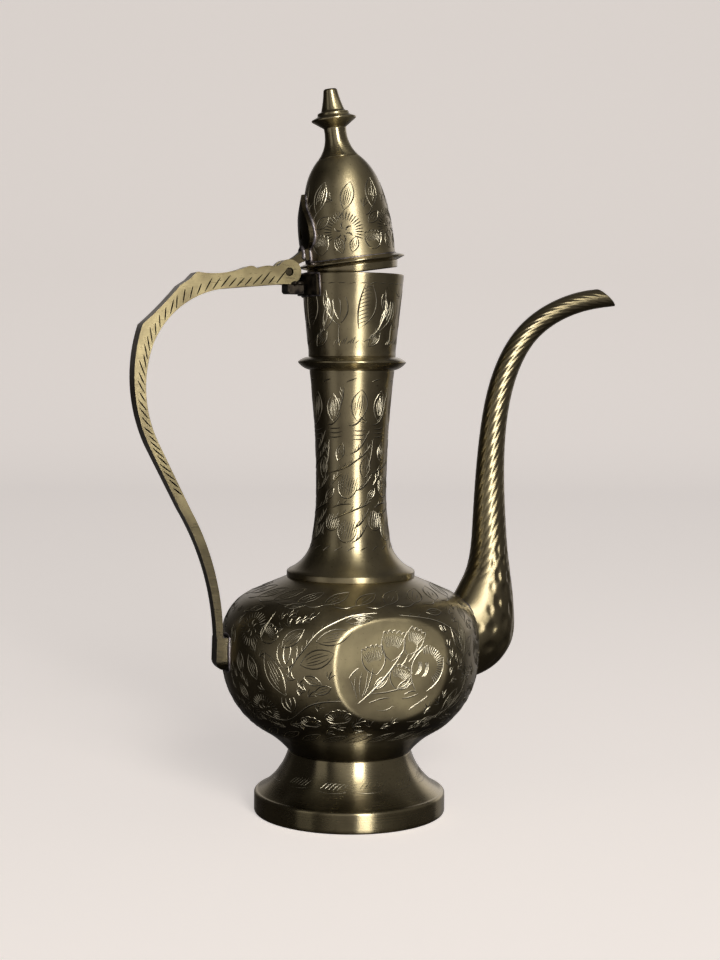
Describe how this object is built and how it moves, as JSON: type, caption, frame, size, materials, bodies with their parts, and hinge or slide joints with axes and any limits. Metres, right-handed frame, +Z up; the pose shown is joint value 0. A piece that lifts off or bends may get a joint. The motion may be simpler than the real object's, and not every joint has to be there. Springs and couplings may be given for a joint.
{
  "type": "coffee pot",
  "caption": "Engraved brass ewer for coffee: pedestal foot, onion bowl with oval panels, slender neck, swan-neck spout, cast handle and a domed lid that tips back on a hinge pin.",
  "frame": {"origin": "on the pot's axis, in the plane of the underside of the foot", "axes": "+Z up along the pot's axis, +X towards the spout, -X towards the handle, Y across the hinge"},
  "size_m": [0.1867, 0.0828, 0.259],
  "materials": {
    "engraved_brass": "antique brass, satin, with bright-cut engraving and dark recesses",
    "turned_brass": "antique brass, turned, with fine tool rings",
    "cast_brass": "cast brass, filed and chiselled, worn pale on its edges",
    "pin_brass": "drawn brass rod, darkened"
  },
  "bodies": {
    "pot": {"foot": "turned_brass", "bowl": "engraved_brass", "neck": "engraved_brass", "neck_ring": "turned_brass", "mouth_cup": "engraved_brass", "spout": "engraved_brass", "handle": "cast_brass", "hinge_saddle": "cast_brass", "hinge_pin": "pin_brass"},
    "lid": {"lid_rim_ring": "turned_brass", "lid_plug": "turned_brass", "lid_dome": "engraved_brass", "finial": "turned_brass", "hinge_leaf": "cast_brass"}
  },
  "joints": [
    {"name": "lid_hinge", "type": "hinge", "parent": "pot", "child": "lid", "pos_m": [-0.0251, 0, 0.1926], "axis": [0, -1, 0], "range_deg": [-8, 85]}
  ]
}
